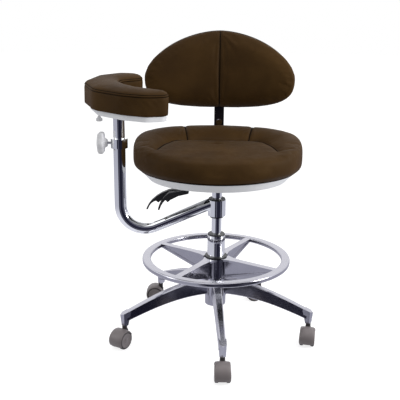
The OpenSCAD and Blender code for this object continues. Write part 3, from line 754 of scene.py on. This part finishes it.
def pad_loop(mesh, local, floor_h):
    """The pad's outline in its own frame: the border of its bottom face, in order."""
    low = local[:, 2] < floor_h + 0.0005
    joined, merged, keys = {}, {}, {}
    for i in np.flatnonzero(low):
        key = tuple(np.round(local[i, :2], 5))
        keys[i] = merged.setdefault(key, len(merged))
    places = {v: k for k, v in merged.items()}
    count = {}
    for polygon in mesh.polygons:
        corners = list(polygon.vertices)
        if all(low[i] for i in corners):
            for a, b in zip(corners, corners[1:] + corners[:1]):
                edge = tuple(sorted((keys[a], keys[b])))
                count[edge] = count.get(edge, 0) + 1
    for (a, b), used in count.items():
        if used == 1 and a != b:
            joined.setdefault(a, []).append(b)
            joined.setdefault(b, []).append(a)
    start = min(joined)
    loop, before, here = [start], None, start
    while True:
        ahead = [n for n in joined[here] if n != before]
        before, here = here, ahead[0]
        if here == start:
            break
        loop.append(here)
    outline = resample(np.array([places[i] for i in loop]), 0.004, True)
    x, y = outline[:, 0], outline[:, 1]
    if np.sum(x * np.roll(y, -1) - y * np.roll(x, -1)) < 0:
        outline = outline[::-1]
    return outline


def shrink(outline, inset):
    """A counter-clockwise outline moved inward."""
    run = np.roll(outline, -1, 0) - np.roll(outline, 1, 0)
    run /= np.linalg.norm(run, axis=1)[:, None]
    return outline + inset * np.column_stack([-run[:, 1], run[:, 0]])


# ---------------------------------------------------------------- detailed hard pieces

JOINTS = {joint["name"]: joint for joint in frame["joints"]}
UP = np.array([0.0, 0.0, 1.0])


def joint_place(name):
    """Where a joint's axis stands."""
    return np.array(JOINTS[name]["pos_m"], float)


def turned(shape, origin, ahead, across, up):
    """A (points, faces) shape drawn in a local frame, placed in the row frame."""
    points, faces = shape
    return [origin + p[0] * ahead + p[1] * across + p[2] * up for p in points], faces


def revolve(profile, sides=64, lobes=0, lobe_depth=0.0):
    """Points and faces round the local x axis; profile rows are (x, radius), and may be lobed."""
    angles = np.linspace(0, 2 * np.pi, sides, endpoint=False)
    reach = max(radius for _, radius in profile)
    rings = [[(profile[0][0], 0, 0)]]
    for x, radius in profile:
        wave = 1 + lobe_depth * np.cos(lobes * angles) * min(1, radius / reach) ** 4
        rings.append([(x, radius * w * math.cos(a), radius * w * math.sin(a))
                      for a, w in zip(angles, wave)])
    rings.append([(profile[-1][0], 0, 0)])
    return lathe_rings(rings)


def caster_hood_shape():
    """A barrel-shaped cover over two wheels, with the axle at the origin and the stem on -x."""
    outer = [(-21.8, 24.6), (-21.0, 26.2), (-18.0, 27.6), (-10.0, 28.3), (0, 28.5), (10.0, 28.3),
             (18.0, 27.6), (21.0, 26.2), (21.8, 24.6)]
    inner = [(21.6, 23.9), (19.0, 26.5), (0, 26.7), (-19.0, 26.5), (-21.6, 23.9)]
    section = np.array(outer + inner) / 1000
    angles = np.radians(np.linspace(-29, 158, 40))
    points, count = [], len(section)
    for angle in angles:
        squeeze = 1 - 0.07 * max(0.0, math.sin(angle)) ** 2 - 0.03 * max(0.0, -math.sin(angle))
        for v, r in section:
            points.append((r * math.cos(angle), v * squeeze, r * math.sin(angle)))
    faces = []
    for k in range(len(angles) - 1):
        a, b = k * count, (k + 1) * count
        faces += [(a + j, a + (j + 1) % count, b + (j + 1) % count, b + j) for j in range(count)]
    faces.append(tuple(range(count - 1, -1, -1)))
    faces.append(tuple((len(angles) - 1) * count + j for j in range(count)))
    return points, faces


def rounded_wheel():
    """Profiles of one wheel from its inner face out: the dark tread, and the taupe disc."""
    tread = [(10.6, 19.0), (10.6, 24.8), (11.4, 25.8), (12.4, 26.0), (17.0, 26.0), (18.6, 25.6),
             (19.8, 24.6), (20.3, 23.2), (20.3, 21.4), (19.6, 21.0), (19.6, 19.0)]
    disc = [(10.2, 19.4), (19.4, 19.4), (20.0, 20.4), (20.6, 20.6), (20.9, 20.2), (21.0, 18.0),
            (20.2, 16.6), (19.6, 12.0), (19.9, 7.5), (20.8, 6.6), (21.2, 5.2), (21.3, 2.0)]
    return [np.array(rows) / 1000 for rows in (tread, disc)]


def make_casters():
    """Five casters: hood, core with the stem's neck, tyres and hub discs."""
    for number in range(1, 6):
        prefix = f"caster_{number}_"
        stem, axle = joint_place(prefix + "swivel"), joint_place(prefix + "roll")
        hood_node, wheel_node = prefix + "hood", prefix + "wheels"
        ahead = axle - stem
        ahead[2] = 0
        trail = np.linalg.norm(ahead)
        ahead /= trail
        axes = axle, ahead, np.cross(UP, ahead), UP
        body = nodes[hood_node]["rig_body"]

        hood = new_piece(prefix + "cover", *turned(caster_hood_shape(), *axes),
                         MATERIALS["grey_plastic"], body, "grey_plastic")
        bevel_piece(hood, 0.0005)
        points, faces = revolve([(-0.009, 0.016), (-0.0095, 0.0155), (0.0095, 0.0155)])
        web = [(y, x, z) for x, y, z in points], faces
        points, faces = revolve([(0.000, 0.0085), (0.012, 0.0085), (0.0135, 0.0072),
                                 (0.0345, 0.0070), (0.0352, 0.0064)], 40)
        neck = [(y - trail, z, x) for x, y, z in points], faces
        rib = box_shape((-trail - 0.006, -0.0075, -0.004), (-0.004, 0.0075, 0.0235))
        core = merge([turned(shape, *axes) for shape in (web, neck, rib)])
        core = new_piece(prefix + "core", *core, MATERIALS["dark_plastic"], body, "grey_plastic")
        flat_where_sharp(core)
        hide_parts(hood_node)

        tread, disc = rounded_wheel()
        treads, discs = [], []
        for side in (-1, 1):
            for rows, found in ((tread, treads), (disc, discs)):
                points, faces = revolve(rows, 72)
                faces = [face if side < 0 else face[::-1] for face in faces]
                found.append(turned(([(y, x * side, z) for x, y, z in points], faces), *axes))
        body = nodes[wheel_node]["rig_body"]
        tyre = new_piece(prefix + "tyres", *merge(treads), MATERIALS["tyre"], body, "tyre")
        hub = new_piece(prefix + "hubs", *merge(discs), MATERIALS["grey_plastic"], body,
                        "grey_plastic")
        for piece in (tyre, hub):
            flat_where_sharp(piece)
        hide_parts(wheel_node)


def box_shape(low, high):
    """Points and faces of a box from its low corner to its high one."""
    (a, b, c), (d, e, f) = low, high
    points = [(a, b, c), (d, b, c), (d, e, c), (a, e, c),
              (a, b, f), (d, b, f), (d, e, f), (a, e, f)]
    faces = [(3, 2, 1, 0), (4, 5, 6, 7), (0, 1, 5, 4), (1, 2, 6, 5), (2, 3, 7, 6), (3, 0, 4, 7)]
    return points, faces


def flat_where_sharp(obj, angle=35):
    """Mends the faces' direction and keeps sharp edges sharp."""
    bm = bmesh.new()
    bm.from_mesh(obj.data)
    bmesh.ops.recalc_face_normals(bm, faces=bm.faces)
    for edge in bm.edges:
        edge.smooth = len(edge.link_faces) == 2 and edge.calc_face_angle(0) < math.radians(angle)
    bm.to_mesh(obj.data)
    bm.free()


def bevel_piece(obj, width):
    """Rounds the sharp edges a little."""
    flat_where_sharp(obj)
    bake(obj, "BEVEL", width=width, segments=2, limit_method="ANGLE",
         angle_limit=math.radians(35))


def make_clamp_knob():
    """The star knob on the arm's clamp: six soft lobes on a waisted hub and a steel screw."""
    low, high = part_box("clamp_knob")
    post_low, post_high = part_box("arm_post")
    centre = np.array([(post_low.x + post_high.x) / 2, (post_low.y + post_high.y) / 2,
                       (low.z + high.z) / 2])
    turn = math.radians(182)
    ahead = np.array([math.cos(turn), math.sin(turn), 0.0])
    axes = centre, ahead, np.cross(UP, ahead), UP
    body = nodes["clamp_knob"]["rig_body"]
    rows = np.array([(31.5, 9.0), (33.0, 11.0), (36.5, 12.0), (39.0, 14.5), (40.5, 20.0),
                     (41.0, 25.5), (42.6, 28.3), (46.0, 29.3), (52.0, 29.3), (55.6, 28.0),
                     (57.6, 25.0), (58.6, 20.0), (58.4, 12.0), (58.0, 6.0)]) / 1000
    knob = new_piece("clamp_knob_head", *turned(revolve(rows, 120, 6, 0.085), *axes),
                     MATERIALS["pale_plastic"], body, "pale_plastic")
    flat_where_sharp(knob, 60)
    screw = [(15.8, 3.6), (16.4, 4.0)]
    for k in range(7):
        screw += [(17.2 + 2 * k, 4.0), (18.2 + 2 * k, 3.5)]
    screw = revolve(np.array(screw + [(33.0, 4.0)]) / 1000, 32)
    screw = new_piece("clamp_screw", *turned(screw, *axes), MATERIALS["steel"], body, "steel")
    flat_where_sharp(screw, 60)
    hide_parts("clamp_knob")


def make_lock_knob():
    """The small knob under the arm pad: a ribbed ring that hangs from its screw."""
    low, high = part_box("pad_lock_knob")
    centre = np.array([(low.x + high.x) / 2, (low.y + high.y) / 2, low.z - 0.004])
    rows = np.array([(0.0, 5.0), (0.3, 7.2), (1.4, 8.2), (6.6, 8.2), (8.2, 7.4), (9.0, 5.6),
                     (12.0, 4.6), (13.5, 3.0), (29.5, 3.0)]) / 1000
    points, faces = revolve(rows, 96, 12, 0.06)
    upright = [(y, z, x) for x, y, z in points], faces
    axes = centre, np.array([1.0, 0, 0]), np.array([0, 1.0, 0]), UP
    knob = new_piece("pad_lock_knob_head", *turned(upright, *axes), MATERIALS["pale_plastic"],
                     nodes["pad_lock_knob"]["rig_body"], "pale_plastic")
    flat_where_sharp(knob, 60)
    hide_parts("pad_lock_knob")


# ---------------------------------------------------------------- studio

def make_world():
    """White to the camera. Metal sees dark bands toward the front right, the rest a pale room."""
    world = bpy.data.worlds.new("studio")
    scene.world = world
    world.use_nodes = True
    tree = world.node_tree
    tree.nodes.clear()
    output = tree.nodes.new("ShaderNodeOutputWorld")
    seen = tree.nodes.new("ShaderNodeBackground")
    seen.inputs["Color"].default_value = (1, 1, 1, 1)
    lit = tree.nodes.new("ShaderNodeBackground")
    lit.inputs["Strength"].default_value = 1.3
    soft = tree.nodes.new("ShaderNodeBackground")
    soft.inputs["Strength"].default_value = 0.5
    soften = tree.nodes.new("ShaderNodeMixShader")
    mix = tree.nodes.new("ShaderNodeMixShader")
    path = tree.nodes.new("ShaderNodeLightPath")
    place = tree.nodes.new("ShaderNodeTexCoord")
    split = tree.nodes.new("ShaderNodeSeparateXYZ")
    tree.links.new(place.outputs["Generated"], split.inputs[0])
    toward = tree.nodes.new("ShaderNodeVectorMath")
    toward.operation = "DOT_PRODUCT"
    toward.inputs[1].default_value = (-0.42, 0.9075, 0)
    tree.links.new(place.outputs["Generated"], toward.inputs[0])
    deep = ramp(tree, span(tree, toward.outputs["Value"], -1, 1, "From"),
                [(0.0, (0.03, 0.03, 0.05)), (0.05, (0.03, 0.03, 0.05)),
                 (0.065, (0.22, 0.22, 0.26)), (0.085, (0.22, 0.22, 0.26)),
                 (0.10, (0.03, 0.03, 0.05)), (0.165, (0.04, 0.04, 0.06)),
                 (0.20, (0.97, 0.98, 1.0)), (1.0, (1.0, 1.0, 1.0))])
    tall = ramp(tree, span(tree, split.outputs["Z"], -1, 1, "From"),
                [(0.20, (0.62, 0.62, 0.68)), (0.36, (0.42, 0.42, 0.48)), (0.44, (0.30, 0.30, 0.36)),
                 (0.50, (0.55, 0.55, 0.62)), (0.56, (0.95, 0.95, 0.97)), (1.0, (1.0, 1.0, 1.0))])
    both = tree.nodes.new("ShaderNodeMix")
    both.data_type = "RGBA"
    both.blend_type = "MULTIPLY"
    both.inputs[0].default_value = 1.0
    tree.links.new(deep, both.inputs[6])
    tree.links.new(tall, both.inputs[7])
    tree.links.new(both.outputs[2], lit.inputs["Color"])
    even = ramp(tree, span(tree, split.outputs["Z"], -1, 1, "From"),
                [(0.3, (0.95, 0.95, 0.95)), (0.5, (0.7, 0.7, 0.7)), (0.6, (0.9, 0.9, 0.9)),
                 (1.0, (1, 1, 1))])
    tree.links.new(even, soft.inputs["Color"])
    tree.links.new(path.outputs["Is Diffuse Ray"], soften.inputs[0])
    tree.links.new(lit.outputs[0], soften.inputs[1])
    tree.links.new(soft.outputs[0], soften.inputs[2])
    tree.links.new(path.outputs["Is Camera Ray"], mix.inputs[0])
    tree.links.new(soften.outputs[0], mix.inputs[1])
    tree.links.new(seen.outputs[0], mix.inputs[2])
    tree.links.new(mix.outputs[0], output.inputs[0])


def make_floor():
    """A pale floor that glows a little, so that it meets the white background without a line."""
    reach, sides = 14.0, 96
    angles = [2 * math.pi * i / sides for i in range(sides)]
    points = [(reach * math.cos(angle), reach * math.sin(angle), 0) for angle in angles]
    mesh = bpy.data.meshes.new("floor")
    mesh.from_pydata(points, [], [tuple(range(sides))])
    floor = bpy.data.objects.new("floor", mesh)
    scene.collection.objects.link(floor)
    material, tree, shader = new_material("floor")
    shader.inputs["Base Color"].default_value = (0.5, 0.5, 0.5, 1)
    shader.inputs["Roughness"].default_value = 0.8
    shader.inputs["Specular IOR Level"].default_value = 0.1
    shader.inputs["Emission Color"].default_value = (1, 1, 1, 1)
    shader.inputs["Emission Strength"].default_value = 0.78
    mesh.materials.append(material)
    floor.visible_glossy = False
    floor.visible_diffuse = False


def area_light(name, place, target, size, power):
    data = bpy.data.lights.new(name, "AREA")
    data.shape = "RECTANGLE"
    data.size, data.size_y = size
    data.energy = power
    light = bpy.data.objects.new(name, data)
    scene.collection.objects.link(light)
    light.location = place
    light.rotation_euler = (Vector(target) - Vector(place)).to_track_quat("-Z", "Y").to_euler()


make_seat()
make_back()
make_arm_pad()
make_casters()
make_clamp_knob()
make_lock_knob()
make_world()
make_floor()
area_light("top", (0, 0.15, 2.6), (0, 0, 0.5), (1.6, 1.2), 6)
area_light("left", (-2.3, -0.7, 1.3), (0, 0, 0.5), (0.5, 1.6), 9)
area_light("right", (2.3, -0.6, 1.4), (0, 0, 0.5), (0.8, 1.4), 46)
